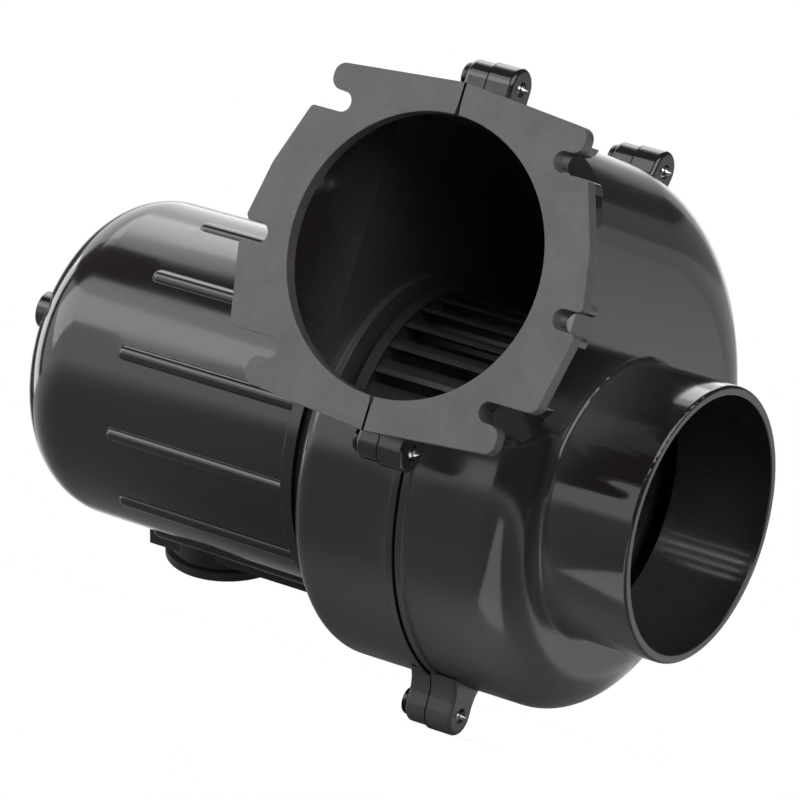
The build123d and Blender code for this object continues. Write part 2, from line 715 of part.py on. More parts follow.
CAP_FRONT_X = MOTOR_FACE_X - MOTOR_GASKET_T
CAN_FRONT_X = CAP_FRONT_X - END_CAP_T
CAN_REAR_X = CAN_FRONT_X - CAN_L
REAR_CAP_X = CAN_REAR_X - REAR_CAP_T
CAN_IN_R = CAN_R - CAN_WALL
BORE_FIT_R = SHAFT_R + RUN_FIT
CORE_R = CAN_IN_R - FIT - MAGNET_T - AIR_GAP
MAGNET_FRONT_X = CAN_FRONT_X - MAGNET_FRONT
CORE_FRONT_X = MAGNET_FRONT_X - (MAGNET_L - CORE_L) / 2
CORE_REAR_X = CORE_FRONT_X - CORE_L
FRONT_BEARING_X = CAP_FRONT_X + NOSE_OUT
REAR_BEARING_X = CAN_REAR_X - BEARING_L
PLATE_X = CAN_REAR_X + END_CAP_SPIGOT
HOLDER_END = CAN_IN_R - HOLDER_GAP
HOLDER_FRONT_X = PLATE_X + BRUSH_PLATE_T
HOLDER_OUT = BRUSH_H + 2 * FIT + 2 * HOLDER_WALL
BRUSH_X = HOLDER_FRONT_X + HOLDER_OUT / 2


def make_motor_gasket():
    """Soft ring between the scroll and the motor."""
    gasket = ring_bar(CAN_R, NOSE_HOLE_R, CAP_FRONT_X, MOTOR_FACE_X)
    for y, z in motor_screw_places():
        gasket -= bar_at(y, z, MOTOR_SCREW_R + SCREW_CLEAR, CAP_FRONT_X - LAP, MOTOR_FACE_X + LAP)
    return gasket


def make_motor_screws():
    """Machine screws from inside the scroll into the motor's front cap."""
    head_x = MOTOR_FACE_X + WALL + SEAT_UP
    end_x = CAP_FRONT_X - MOTOR_SCREW_GRIP
    return [
        screw_solid(y, z, MOTOR_SCREW_R, head_x, MOTOR_SCREW_HEAD_R, MOTOR_SCREW_HEAD_T, end_x, 0)
        for y, z in motor_screw_places()
    ]


def make_front_end_cap():
    """Drive-end cap of the motor with the pocket for its bearing."""
    cap = ring_bar(CAN_R, SHAFT_R + BOSS_WALL, CAN_FRONT_X, CAP_FRONT_X)
    spigot_r = CAN_IN_R - FIT
    cap += ring_bar(spigot_r, spigot_r - BOSS_WALL, CAN_FRONT_X - END_CAP_SPIGOT, CAN_FRONT_X)
    cap += round_bar(BEARING_R + BOSS_WALL, CAN_FRONT_X, FRONT_BEARING_X)
    cap -= round_bar(BEARING_R + PRESS_GAP, FRONT_BEARING_X - BEARING_L, FRONT_BEARING_X)
    cap -= round_bar(SHAFT_R + BOSS_WALL, CAN_FRONT_X - END_CAP_T, FRONT_BEARING_X)
    for y, z in motor_screw_places():
        hole_end = CAP_FRONT_X - MOTOR_SCREW_GRIP - LAP
        cap -= bar_at(y, z, MOTOR_SCREW_R + PILOT_CLEAR, hole_end, CAP_FRONT_X)
    return cap


def make_rear_end_cap():
    """Brush-end cap of the motor with its closed bearing boss."""
    cap = round_bar(CAN_R, REAR_CAP_X, CAN_REAR_X)
    cap += ring_bar(CAN_IN_R - FIT, CAN_IN_R - FIT - BOSS_WALL, CAN_REAR_X, PLATE_X)
    cap += round_bar(BEARING_R + BOSS_WALL, REAR_BEARING_X - CAP_END_WALL, CAN_REAR_X)
    return cap - round_bar(BEARING_R + PRESS_GAP, REAR_BEARING_X, CAN_REAR_X)


def magnet_ring(thick):
    """Ring of a given thickness that lies in the can over the length of the magnets."""
    outer = CAN_IN_R - FIT
    return ring_bar(outer, outer - thick, MAGNET_FRONT_X - MAGNET_L, MAGNET_FRONT_X)


def make_field_magnets():
    """Two ferrite arcs inside the can."""
    ring = magnet_ring(MAGNET_T)
    reach = 2 * CAN_R
    rise = reach * cos(radians(MAGNET_SPAN / 2)) / sin(radians(MAGNET_SPAN / 2))
    magnets = []
    for side in (-1, 1):
        wedge = make_face(Polyline((0, 0), (side * rise, reach), (side * reach, reach),
                                   (side * reach, -reach), (side * rise, -reach), close=True))
        block = extrude(on_shaft(MAGNET_FRONT_X - MAGNET_L) * wedge, MAGNET_L)
        magnets.append((ring & block).solid())
    return magnets


def make_magnet_clips():
    """Two spring strips in the gaps between the magnets."""
    ring = magnet_ring(CLIP_T)
    half = CAN_R * sin(radians(90 - MAGNET_SPAN / 2)) * CLIP_SHARE
    clips = []
    for side in (-1, 1):
        strip = Pos(0, side * CAN_R) * Rectangle(2 * half, CAN_R)
        block = extrude(on_shaft(MAGNET_FRONT_X - MAGNET_L) * strip, MAGNET_L)
        clips.append((ring & block).solid())
    return clips


def make_brush_plate():
    """Insulating card that carries the brush holders."""
    return ring_bar(CAN_IN_R - FIT, COMM_R + BOSS_WALL, PLATE_X, HOLDER_FRONT_X)


def radial_box(side, x, inner, outer, height, width):
    """Box along the back or front radius, centred at x."""
    y = SHAFT_BACK + side * (inner + outer) / 2
    return Pos(x, y, -SHAFT_DROP) * Box(height, outer - inner, width)


def make_brush_holders():
    """Two box guides with closed outer ends."""
    inner = COMM_R + BOSS_WALL
    width = BRUSH_W + 2 * FIT
    holders = []
    for side in (-1, 1):
        outside = radial_box(side, BRUSH_X, inner, HOLDER_END, HOLDER_OUT, width + 2 * HOLDER_WALL)
        window = radial_box(side, BRUSH_X, 0, HOLDER_END - HOLDER_WALL, BRUSH_H + 2 * FIT, width)
        holders.append(outside - window)
    return holders


def make_carbon_brushes():
    """Two carbon blocks with hollow faces that fit the commutator."""
    brushes = []
    face_r = COMM_R + BRUSH_GAP
    hollow = round_bar(face_r, BRUSH_X - BRUSH_H, BRUSH_X + BRUSH_H)
    for side in (-1, 1):
        block = radial_box(side, BRUSH_X, COMM_R / 2, face_r + BRUSH_L, BRUSH_H, BRUSH_W)
        brushes.append((block - hollow).solid())
    return brushes


def make_brush_springs():
    """Two folded leaf springs behind the brushes."""
    start = COMM_R + BRUSH_GAP + BRUSH_L + SPRING_T / 2
    end = HOLDER_END - HOLDER_WALL - SPRING_T / 2
    half = BRUSH_W / 2 - 2 * SPRING_T
    springs = []
    for side in (-1, 1):
        points = []
        for number in range(SPRING_FOLDS + 1):
            along = start + (end - start) * number / SPRING_FOLDS
            points.append((side * along, half if number % 2 else -half))
        strip = trace(Polyline(*points), SPRING_T)
        springs.append(extrude(on_shaft(BRUSH_X - SPRING_W / 2) * strip, SPRING_W).solid())
    return springs


def make_terminals():
    """Two flat tabs on the rear cap."""
    x = REAR_CAP_X - TERMINAL_L / 2
    return [
        Pos(x, SHAFT_BACK, side * TERMINAL_OFF - SHAFT_DROP) * Box(TERMINAL_L, TERMINAL_W, TERMINAL_T)
        for side in (-1, 1)
    ]


def make_motor_boot():
    """Rubber ring that steadies the rear of the motor in the cover."""
    return ring_bar(BOOT_R, CAN_R + FIT, REAR_CAP_X, REAR_CAP_X + BOOT_L)


# Rotor

def make_motor_shaft():
    """Ground steel shaft with a small lead on its front end."""
    shaft = round_bar(SHAFT_R, REAR_BEARING_X + SHAFT_TAIL, SHAFT_FRONT_X)
    return chamfer(shaft.edges().sort_by(Axis.X)[-1], SHAFT_LEAD)


def slot_outline(inset):
    """One winding slot of the core, pointing along local x."""
    narrow = TOOTH_GAP / 2
    wide = TOOTH_GAP * SLOT_SPREAD
    deep = YOKE_R + inset
    top = WINDING_R - inset
    return make_face(Polyline((deep, -narrow + inset / 2), (top, -wide + inset), (top, wide - inset),
                              (deep, narrow - inset / 2), close=True))


def make_armature_core():
    """Stack of laminations with open winding slots."""
    profile = Circle(CORE_R)
    mouth = Pos(WINDING_R - LAP + CORE_R / 2, 0) * Rectangle(CORE_R, TOOTH_GAP)
    for number in range(CORE_TEETH):
        profile -= Rot(0, 0, number * 360 / CORE_TEETH) * (slot_outline(0) + mouth)
    profile -= Circle(SHAFT_R + PRESS_GAP)
    return extrude(on_shaft(CORE_REAR_X) * profile, CORE_L)


def make_armature_windings():
    """Copper in the slots and the round end turns at both ends."""
    bars = Sketch() + [
        Rot(0, 0, number * 360 / CORE_TEETH) * slot_outline(WINDING_GAP) for number in range(CORE_TEETH)
    ]
    winding = extrude(on_shaft(CORE_REAR_X - LAP) * bars, CORE_L + 2 * LAP)
    for start in (CORE_REAR_X - WINDING_OVER, CORE_FRONT_X + PRESS_GAP):
        end_turn = ring_bar(WINDING_R, CORE_HUB_R, start, start + WINDING_OVER - PRESS_GAP)
        rims = end_turn.edges().filter_by(GeomType.CIRCLE).sort_by(SortBy.LENGTH)[-2:]
        winding += fillet(rims, WINDING_OVER / 3)
    return winding


def make_commutator():
    """Copper commutator with its slots."""
    front = CORE_REAR_X - WINDING_OVER - END_PLAY
    profile = Circle(COMM_R) - Circle(SHAFT_R + PRESS_GAP)
    for number in range(COMM_BARS):
        slot = Pos(COMM_R, 0) * Rectangle(2 * COMM_SLOT_DEEP, COMM_SLOT)
        profile -= Rot(0, 0, (number + 0.5) * 360 / COMM_BARS) * slot
    return extrude(on_shaft(front - COMM_L) * profile, COMM_L)


def make_shaft_washers():
    """Thrust washers in front of and behind the armature."""
    front = FRONT_BEARING_X - BEARING_L - END_PLAY
    rear = REAR_BEARING_X + BEARING_L + END_PLAY
    return [
        ring_bar(WASHER_R, SHAFT_R + PRESS_GAP, front - WASHER_T, front),
        ring_bar(WASHER_R, SHAFT_R + PRESS_GAP, rear, rear + WASHER_T),
    ]


def blade_outline():
    """Forward-curved blade across the shaft, of even thickness, in short straight steps."""
    tip_r = WHEEL_R - RIM_UP
    spread = degrees(2 * BLADE_T / (BLADE_IN_R + tip_r))
    line = []
    for number in range(BLADE_STEPS + 1):
        share = number / BLADE_STEPS
        belly = BLADE_BELLY * 4 * share * (1 - share)
        line.append((BLADE_IN_R + (tip_r - BLADE_IN_R) * share, BLADE_LEAD * share - belly))
    outline = line + [(r, angle + spread) for r, angle in reversed(line)]
    points = [(r * cos(radians(angle)), r * sin(radians(angle))) for r, angle in outline]
    return make_face(Polyline(*points, close=True))


def make_impeller():
    """Moulded fan wheel: back disc with hub and rim, forward-curved blades and front ring."""
    rim_r = WHEEL_R + RIM_UP
    rim_in = rim_r - RIM_T
    back = WHEEL_BACK_X - DISC_T
    wheel = turned_about_shaft([
        (back, INSERT_R + PRESS_GAP), (back, rim_in), (back - RIM_UP, rim_in), (back - RIM_UP, rim_r),
        (WHEEL_BACK_X + RIM_UP, rim_r), (WHEEL_BACK_X + RIM_UP, rim_in), (WHEEL_BACK_X, rim_in),
        (WHEEL_BACK_X, HUB_CONE_R), (WHEEL_BACK_X + HUB_CONE_L, HUB_R), (back + HUB_L, HUB_R - HUB_TAPER),
        (back + HUB_L, INSERT_R + PRESS_GAP),
    ])
    blade = blade_outline()
    turns = [(number + 0.5) * 360 / BLADES for number in range(BLADES)]
    blades = Sketch() + [Rot(0, 0, turn) * blade for turn in turns]
    start = WHEEL_BACK_X - DISC_T / 2
    wheel += extrude(on_shaft(start) * blades, WHEEL_FRONT_X - RIM_W / 2 - start)
    return wheel + ring_bar(rim_r, WHEEL_R - RIM_W, WHEEL_FRONT_X - RIM_W, WHEEL_FRONT_X)


def make_impeller_insert():
    """Brass hub insert that grips the shaft."""
    back = WHEEL_BACK_X - DISC_T
    return ring_bar(INSERT_R, SHAFT_R + PRESS_GAP, back - RIM_UP, back + HUB_L)


def make_impeller_clip():
    """Push-on ring that keeps the wheel on the shaft."""
    start = WHEEL_BACK_X - DISC_T + HUB_L
    return ring_bar(CLIP_R, SHAFT_R + PRESS_GAP, start, start + CLIP_RING_T)


def make_parts():
    """Every node of the blower by name."""
    outside = outside_form()
    cavity = cavity_form()
    return {
        "inlet_housing": make_inlet_housing(outside, cavity),
        "motor_housing": make_motor_housing(outside, cavity),
        "housing_screws": make_housing_screws(),
        "motor_cover": make_motor_cover(),
        "lead_cap": make_lead_cap(),
        "cover_seal": make_cover_seal(),
        "cover_screws": make_cover_screws(),
        "motor_gasket": make_motor_gasket(),
        "motor_screws": make_motor_screws(),
        "front_end_cap": make_front_end_cap(),
        "front_bearing": ring_bar(BEARING_R, BORE_FIT_R, FRONT_BEARING_X - BEARING_L, FRONT_BEARING_X),
        "motor_can": ring_bar(CAN_R, CAN_IN_R, CAN_REAR_X, CAN_FRONT_X),
        "field_magnets": make_field_magnets(),
        "magnet_clips": make_magnet_clips(),
        "rear_end_cap": make_rear_end_cap(),
        "rear_bearing": ring_bar(BEARING_R, BORE_FIT_R, REAR_BEARING_X, CAN_REAR_X),
        "brush_plate": make_brush_plate(),
        "brush_holders": make_brush_holders(),
        "carbon_brushes": make_carbon_brushes(),
        "brush_springs": make_brush_springs(),
        "terminals": make_terminals(),
        "motor_boot": make_motor_boot(),
        "motor_shaft": make_motor_shaft(),
        "armature_core": make_armature_core(),
        "armature_windings": make_armature_windings(),
        "commutator": make_commutator(),
        "shaft_washers": make_shaft_washers(),
        "impeller": make_impeller(),
        "impeller_insert": make_impeller_insert(),
        "impeller_clip": make_impeller_clip(),
    }


os.makedirs("parts", exist_ok=True)
for name, shape in make_parts().items():
    solid = Compound(children=shape) if isinstance(shape, list) else shape
    export_step(solid, f"parts/{name}.step")
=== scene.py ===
import json
import math

import bmesh
import bpy
from mathutils import Matrix, Quaternion, Vector


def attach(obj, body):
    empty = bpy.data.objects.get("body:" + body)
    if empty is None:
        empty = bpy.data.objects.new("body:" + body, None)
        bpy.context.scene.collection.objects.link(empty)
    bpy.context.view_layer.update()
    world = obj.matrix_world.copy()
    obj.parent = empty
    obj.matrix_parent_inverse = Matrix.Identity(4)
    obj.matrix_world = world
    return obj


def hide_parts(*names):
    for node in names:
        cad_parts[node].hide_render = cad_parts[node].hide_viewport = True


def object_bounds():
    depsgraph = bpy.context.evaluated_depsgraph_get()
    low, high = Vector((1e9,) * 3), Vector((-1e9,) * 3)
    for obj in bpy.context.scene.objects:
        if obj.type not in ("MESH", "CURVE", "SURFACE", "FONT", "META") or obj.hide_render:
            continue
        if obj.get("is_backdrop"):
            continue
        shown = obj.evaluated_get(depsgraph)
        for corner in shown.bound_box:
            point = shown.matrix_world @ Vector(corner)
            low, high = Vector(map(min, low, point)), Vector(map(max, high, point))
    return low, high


bl_info = {
    "name": "Flange-mount blower finish",
    "version": (1, 0, 0),
    "blender": (4, 5, 0),
    "location": "3D View > Sidebar > Blower",
    "description": "Finishes, threaded screws and studio stage of a flange-mount blower",
    "category": "Object",
}

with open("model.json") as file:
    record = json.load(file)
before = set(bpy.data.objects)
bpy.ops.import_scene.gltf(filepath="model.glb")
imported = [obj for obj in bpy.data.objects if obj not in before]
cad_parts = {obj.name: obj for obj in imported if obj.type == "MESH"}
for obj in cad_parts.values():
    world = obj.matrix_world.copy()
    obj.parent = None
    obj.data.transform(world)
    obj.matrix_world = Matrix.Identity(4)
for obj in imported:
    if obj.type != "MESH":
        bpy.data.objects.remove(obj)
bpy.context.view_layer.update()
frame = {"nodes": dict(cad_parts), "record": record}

MM = 0.001
ABS_IOR = 1.53

# Places on the solids where a finish changes
FLANGE_T = 4.0 * MM     # back of the flange, whose face lies at y = 0
SPIGOT_X = 36.5 * MM    # where the spigot leaves the shell
POINT_X = 6.0 * MM      # where the screws' plating ends
SOFT_STEP = 1.0 * MM    # length over which one finish runs into the next

# Half the width of the line of painted shade drawn where the two halves meet, at x = 0, for the shadow of an
# open seam; wider than the real seam, which is shut
SEAM_SHADE_HALF_W = 0.45 * MM

# Screws along X, in millimetres: the places (y, z) of their axes, the underside of the head, the head's
# radius and height, the end of the shank and the length of its point. They are the CAD's own.
LUG_SCREWS = {
    "places": [(15.0, -49.2), (15.0, 49.4), (80.55, -113.59), (158.3, -57.23), (103.3, 42.99)],
    "head_x": -6.8, "head_r": 3.9, "head_t": 2.4, "end_x": 9.9, "point": 2.6,
}
COVER_SCREWS = {
    "places": [(42.29, -40.92), (111.71, -50.68)],
    "head_x": -130.1, "head_r": 4.0, "head_t": 1.7, "end_x": -36.25, "point": 0.0,
}
SHANK_R = 2.0           # over the thread, in millimetres
PLAIN_NECK = 0.8        # shank without a thread under the head, in millimetres
RIDGE = 0.28            # half the width of the thread's ridge, as a share of the pitch
TIP = 0.1               # radius at the end of a point, as a share of the shank's
CROWN = 0.93            # radius of the domed top, as a share of the head's
DOME = 0.22             # fall of the dome to its rim, as a share of the head's height
RECESS = 0.5            # depth of the cross recess, as a share of the head's height

# Rest of the head under its dome: shares of its height and of its radius
HEAD_EDGE = ((0.6, 0.99), (0.35, 1.0), (0.06, 1.0), (0.0, 0.98))

# The screws' mesh: angles of a ring's points, rings on the dome and rings in one pitch of the thread
SIDES = 48
TURNS = [math.tau * number / SIDES for number in range(SIDES)]
CROWN_RINGS = 14
THREAD_RINGS = 8


# Colours and sizes that a user would change

def colour_property(name, text, hex_code):
    """Colour swatch whose default is an sRGB hex value."""
    return bpy.props.FloatVectorProperty(
        name=name, description=text, subtype="COLOR", size=3, min=0.0, max=1.0, default=linear(hex_code)
    )


def length_property(name, text, metres):
    """Length in metres."""
    return bpy.props.FloatProperty(
        name=name, description=text, subtype="DISTANCE", unit="LENGTH", default=metres
    )


def share_property(name, text, share):
    """Slider from 0 to 1."""
    return bpy.props.FloatProperty(
        name=name, description=text, subtype="FACTOR", min=0.0, max=1.0, default=share
    )


def light_property(name, text, amount):
    """Radiance, where 1 is the background's white, or a factor on it."""
    return bpy.props.FloatProperty(name=name, description=text, min=0.0, default=amount)


def linear(hex_code):
    """Linear RGB of an sRGB hex value."""
    shares = [int(hex_code[place:place + 2], 16) / 255 for place in (1, 3, 5)]
    return tuple(
        share / 12.92 if share <= 0.04045 else ((share + 0.055) / 1.055) ** 2.4 for share in shares
    )


class BlowerHousingLook(bpy.types.PropertyGroup):
    """Moulded shell of scroll, flange and cover."""

    shell: colour_property("Shell", "Black ABS of the scroll", "#1c181b")
    cover: colour_property("Cover", "Black ABS of the motor cover", "#1b1719")
    face: colour_property("Flange face", "Matt grey-black face of the flange", "#484547")
    # Painted paler than the shell: painted light for the haze and reflections deep in the duct and the spigot
    inside: colour_property("Inside", "Unpolished inside of the duct and the spigot", "#4a4749")
    grain: length_property("Grain", "Width of one grain of the mould texture", 0.45 * MM)
    gloss: share_property("Shell roughness", "Roughness of the shell's skin", 0.11)
    cover_gloss: share_property("Cover roughness", "Roughness of the cover's skin", 0.1)
    edge: length_property("Edge rounding", "Radius of the moulded edges as they catch light", 0.35 * MM)


class BlowerScrewSizes(bpy.types.PropertyGroup):
    """Threads of the lug screws and the cover screws."""

    pitch: length_property("Pitch", "Travel of the thread in one turn", 1.4 * MM)
    depth: length_property("Thread depth", "Height of the thread over its core", 0.45 * MM)


class BlowerStageLook(bpy.types.PropertyGroup):
    """Floor, lamps and room."""

    floor: colour_property("Floor", "Grey table top", "#9c9c9c")
    glow: light_property("Floor glow", "Radiance that lifts the floor to white", 0.85)
    card: light_property("Bounce card", "Radiance of the card under the spigot", 1.5)
    room: light_property("Room", "Radiance of the dim room", 0.08)
    power: light_property("Lamps", "Factor on every panel", 1.0)


# Node trees

def join(tree, made, **links):
    """Gives sockets of a node a value or another socket each. i0, i1 and so on count the sockets."""
    for name, value in links.items():
        counted = name[0] == "i" and name[1:].isdigit()
        socket = made.inputs[int(name[1:]) if counted else name.replace("_", " ")]
        if isinstance(value, bpy.types.NodeSocket):
            tree.links.new(value, socket)
        else:
            socket.default_value = value


def node(tree, kind, settings=None, **links):
    """Adds a node with its settings, which are its attributes, and its links."""
    made = tree.nodes.new(kind)
    for name, value in (settings or {}).items():
        setattr(made, name, value)
    join(tree, made, **links)
    return made


def start_material(name):
    """Empty material with its surface shader wired to the output, and the object's own coordinates."""
    material = bpy.data.materials.new(name)
    material.use_nodes = True
    tree = material.node_tree
    tree.nodes.clear()
    shader = tree.nodes.new("ShaderNodeBsdfPrincipled")
    output = tree.nodes.new("ShaderNodeOutputMaterial")
    tree.links.new(shader.outputs["BSDF"], output.inputs["Surface"])
    place = node(tree, "ShaderNodeTexCoord").outputs["Object"]
    return material, tree, shader, place


def shade(colour, factor=1.0):
    """Linear RGBA of a colour, made darker or paler by a factor."""
    return (*(min(1.0, share * factor) for share in colour[:3]), 1.0)


def moulded_skin(tree, place, colour, roughness, grain):
    """Tint, roughness and height of a moulded skin.

    A steel mould leaves soft flow clouds where the melt met, small specks that differ in gloss,
    and an even fine grain, drawn coarser than the real 0.1 mm so that it shows.
    """
    flow = 38 * MM
    speck = 1.6 * MM
    clouds = node(tree, "ShaderNodeTexNoise", Vector=place, Scale=1 / flow, Detail=4, Roughness=0.6)
    specks = node(tree, "ShaderNodeTexNoise", Vector=place, Scale=1 / speck, Detail=2)
    fine = node(tree, "ShaderNodeTexNoise", Vector=place, Scale=1 / grain, Detail=2)
    tint = node(
        tree, "ShaderNodeMix", {"data_type": "RGBA"}, i0=clouds.outputs["Fac"],
        i6=shade(colour, 0.84), i7=shade(colour, 1.25),
    )
    cloud_gloss = node(
        tree, "ShaderNodeMapRange", Value=clouds.outputs["Fac"], From_Min=0.3, From_Max=0.7,
        To_Min=roughness - 0.025, To_Max=roughness + 0.035,
    )
    gloss = node(
        tree, "ShaderNodeMath", {"operation": "MULTIPLY_ADD"}, i0=specks.outputs["Fac"], i1=0.04,
        i2=cloud_gloss.outputs["Result"],
    )
    return tint.outputs[2], gloss.outputs["Value"], fine.outputs["Fac"]


def skin_normal(tree, place, height, depth, edge):
    """Surface normal of a moulded skin: rounded edges, a faint waviness of thick walls, then its grain."""
    wave = 26 * MM
    rounded = node(tree, "ShaderNodeBevel", {"samples": 6}, Radius=edge)
    sink = node(tree, "ShaderNodeTexNoise", Vector=place, Scale=1 / wave, Detail=1)
    waves = node(
        tree, "ShaderNodeBump", Height=sink.outputs["Fac"], Distance=0.03 * MM, Strength=0.3,
        Normal=rounded.outputs["Normal"],
    )
    skin = node(
        tree, "ShaderNodeBump", Height=height, Distance=depth, Strength=0.4, Normal=waves.outputs["Normal"]
    )
    return skin.outputs["Normal"]


def moulded_plastic(name, colour, roughness, grain, depth, edge, ior=ABS_IOR):
    """Injection-moulded thermoplastic."""
    material, tree, shader, place = start_material(name)
    tint, gloss, height = moulded_skin(tree, place, colour, roughness, grain)
    normal = skin_normal(tree, place, height, depth, edge)
    join(tree, shader, Base_Color=tint, Roughness=gloss, Normal=normal, IOR=ior)
    return material


def hollow_inside(tree):
    """1 deep in the duct and the spigot, where walls stand all round, and 0 outside."""
    walls = node(tree, "ShaderNodeAmbientOcclusion", {"samples": 8}, Distance=70 * MM)
    return node(
        tree, "ShaderNodeMapRange", {"interpolation_type": "SMOOTHSTEP"}, Value=walls.outputs["AO"],
        From_Min=0.7, From_Max=0.35,
    ).outputs["Result"]


def rubbed_face(tree, place, colour):
    """Colour of the flange face: small flecks and wide patches, rubbed by handling."""
    fleck = 2.6 * MM
    patch = 13 * MM
    flecks = node(tree, "ShaderNodeTexNoise", Vector=place, Scale=1 / fleck, Detail=6, Roughness=0.75)
    patches = node(tree, "ShaderNodeTexNoise", Vector=place, Scale=1 / patch, Detail=3)
    wear = node(tree, "ShaderNodeMix", i0=0.55, i2=flecks.outputs["Fac"], i3=patches.outputs["Fac"])
    spread = node(tree, "ShaderNodeMapRange", Value=wear.outputs[0], From_Min=0.36, From_Max=0.64)
    return node(
        tree, "ShaderNodeMix", {"data_type": "RGBA"}, i0=spread.outputs["Result"],
        i6=shade(colour, 0.78), i7=shade(colour, 1.22),
    ).outputs[2]


def drag_lines(tree, place):
    """Height of the lines that the sliding core draws along the spigot, coarser than the real 0.2 mm."""
    line = 0.8 * MM
    stretched = node(tree, "ShaderNodeMapping", Vector=place, Scale=(0.03, 1, 1))
    return node(
        tree, "ShaderNodeTexNoise", Vector=stretched.outputs["Vector"], Scale=1 / line, Detail=4,
        Roughness=0.8,
    ).outputs["Fac"]


def moulded_shell(look):
    """Black ABS shell.

    Its outside is glossy, the flange face is rubbed matt and paler, the spigot carries drag lines
    along its axis from the sliding core, and the duct and the spigot are duller within, as the core side
    isn't polished; there their colour is painted paler, painted light for the haze and reflections deep
    in the duct.
    A dark line of painted shade marks the seam where the two halves meet.
    """
    face_gloss = 0.46
    inside_gloss = 0.32
    line_gloss = 0.2        # roughness that a drag line adds
    core_polish = 0.14      # roughness that the core's polish takes off the spigot
    material, tree, shader, place = start_material("ABS moulded shell")
    tint, gloss, height = moulded_skin(tree, place, look.shell, look.gloss, look.grain)
    axes = node(tree, "ShaderNodeSeparateXYZ", Vector=place)
    # Ambient-occlusion mask of the duct and the spigot: their colour is painted paler there as painted light,
    # and they are made duller
    inside = hollow_inside(tree)
    on_face = node(
        tree, "ShaderNodeMapRange", Value=axes.outputs["Y"],
        From_Min=FLANGE_T + 0.4 * SOFT_STEP, From_Max=FLANGE_T,
    ).outputs["Result"]
    on_tube = node(
        tree, "ShaderNodeMapRange", Value=axes.outputs["X"],
        From_Min=SPIGOT_X, From_Max=SPIGOT_X + SOFT_STEP,
    ).outputs["Result"]

    # Mask of the painted shade at the seam: 1 within the line at x = 0
    from_seam = node(tree, "ShaderNodeMath", {"operation": "ABSOLUTE"}, i0=axes.outputs["X"])
    seam_shade = node(
        tree, "ShaderNodeMapRange", Value=from_seam.outputs["Value"],
        From_Min=SEAM_SHADE_HALF_W, From_Max=0.6 * SEAM_SHADE_HALF_W,
    ).outputs["Result"]

    # Painted light: the duct and the spigot take the paler colour where the occlusion is deep, for the haze
    # and reflections there
    walls = node(tree, "ShaderNodeMix", {"data_type": "RGBA"}, i0=inside, i6=tint, i7=shade(look.inside))
    faced = node(
        tree, "ShaderNodeMix", {"data_type": "RGBA"}, i0=on_face, i6=walls.outputs[2],
        i7=rubbed_face(tree, place, look.face),
    )
    # Painted shade: the seam line is darkened to a fifth of the shell's colour
    colour = node(
        tree, "ShaderNodeMix", {"data_type": "RGBA"}, i0=seam_shade, i6=faced.outputs[2], i7=shade(look.shell, 0.2)
    )
    # The painted seam shade mirrors next to nothing: its specular level falls from the usual 0.5 to 0.05
    shine = node(tree, "ShaderNodeMath", {"operation": "MULTIPLY_ADD"}, i0=seam_shade, i1=-0.45, i2=0.5)

    lines = drag_lines(tree, place)
    wall_gloss = node(tree, "ShaderNodeMix", i0=inside, i2=gloss, i3=inside_gloss)
    lined = node(
        tree, "ShaderNodeMath", {"operation": "MULTIPLY_ADD"}, i0=lines, i1=line_gloss,
        i2=wall_gloss.outputs[0],
    )
    tube_gloss = node(
        tree, "ShaderNodeMath", {"operation": "SUBTRACT"}, i0=lined.outputs["Value"], i1=core_polish
    )
    body_gloss = node(
        tree, "ShaderNodeMix", i0=on_tube, i2=wall_gloss.outputs[0], i3=tube_gloss.outputs["Value"]
    )
    all_gloss = node(tree, "ShaderNodeMix", i0=on_face, i2=body_gloss.outputs[0], i3=face_gloss)

    relief = node(tree, "ShaderNodeMix", i0=on_tube, i2=height, i3=lines)
    normal = skin_normal(tree, place, relief.outputs[0], 0.006 * MM, look.edge)
    join(
        tree, shader, Base_Color=colour.outputs[2], Roughness=all_gloss.outputs[0], Normal=normal,
        Specular_IOR_Level=shine.outputs["Value"], IOR=ABS_IOR,
    )
    return material


def turned_metal(name, colour, roughness, ring, depth, plated=None):
    """Metal turned, ground or rolled along X: fine rings round its axis that stretch each highlight.

    The rings are drawn coarser than the real marks, so that they show. plated is the colour of a dark
    plating that stays on up to POINT_X, past which the metal is bare.
    """
    material, tree, shader, place = start_material(name)
    blotch = 6 * MM
    along = node(tree, "ShaderNodeMapping", Vector=place, Scale=(1, 0.01, 0.01))
    rings = node(
        tree, "ShaderNodeTexNoise", Vector=along.outputs["Vector"], Scale=1 / ring, Detail=4,
        Roughness=0.7,
    ).outputs["Fac"]
    blotches = node(tree, "ShaderNodeTexNoise", Vector=place, Scale=1 / blotch, Detail=3)
    tint = node(
        tree, "ShaderNodeMix", {"data_type": "RGBA"}, i0=blotches.outputs["Fac"],
        i6=shade(colour, 0.82), i7=shade(colour, 1.08),
    )
    if plated:
        axes = node(tree, "ShaderNodeSeparateXYZ", Vector=place)
        bare = node(
            tree, "ShaderNodeMapRange", Value=axes.outputs["X"],
            From_Min=POINT_X, From_Max=POINT_X + SOFT_STEP,
        )
        tint = node(
            tree, "ShaderNodeMix", {"data_type": "RGBA"}, i0=bare.outputs["Result"], i6=shade(plated),
            i7=tint.outputs[2],
        )
    gloss = node(tree, "ShaderNodeMapRange", Value=rings, To_Min=roughness - 0.1, To_Max=roughness + 0.14)
    rounded = node(tree, "ShaderNodeBevel", {"samples": 4}, Radius=0.12 * MM)
    bump = node(
        tree, "ShaderNodeBump", Height=rings, Distance=depth, Strength=0.5, Normal=rounded.outputs["Normal"]
    )
    join(
        tree, shader, Base_Color=tint.outputs[2], Roughness=gloss.outputs["Result"],
        Normal=bump.outputs["Normal"], Metallic=1.0,
    )
    return material


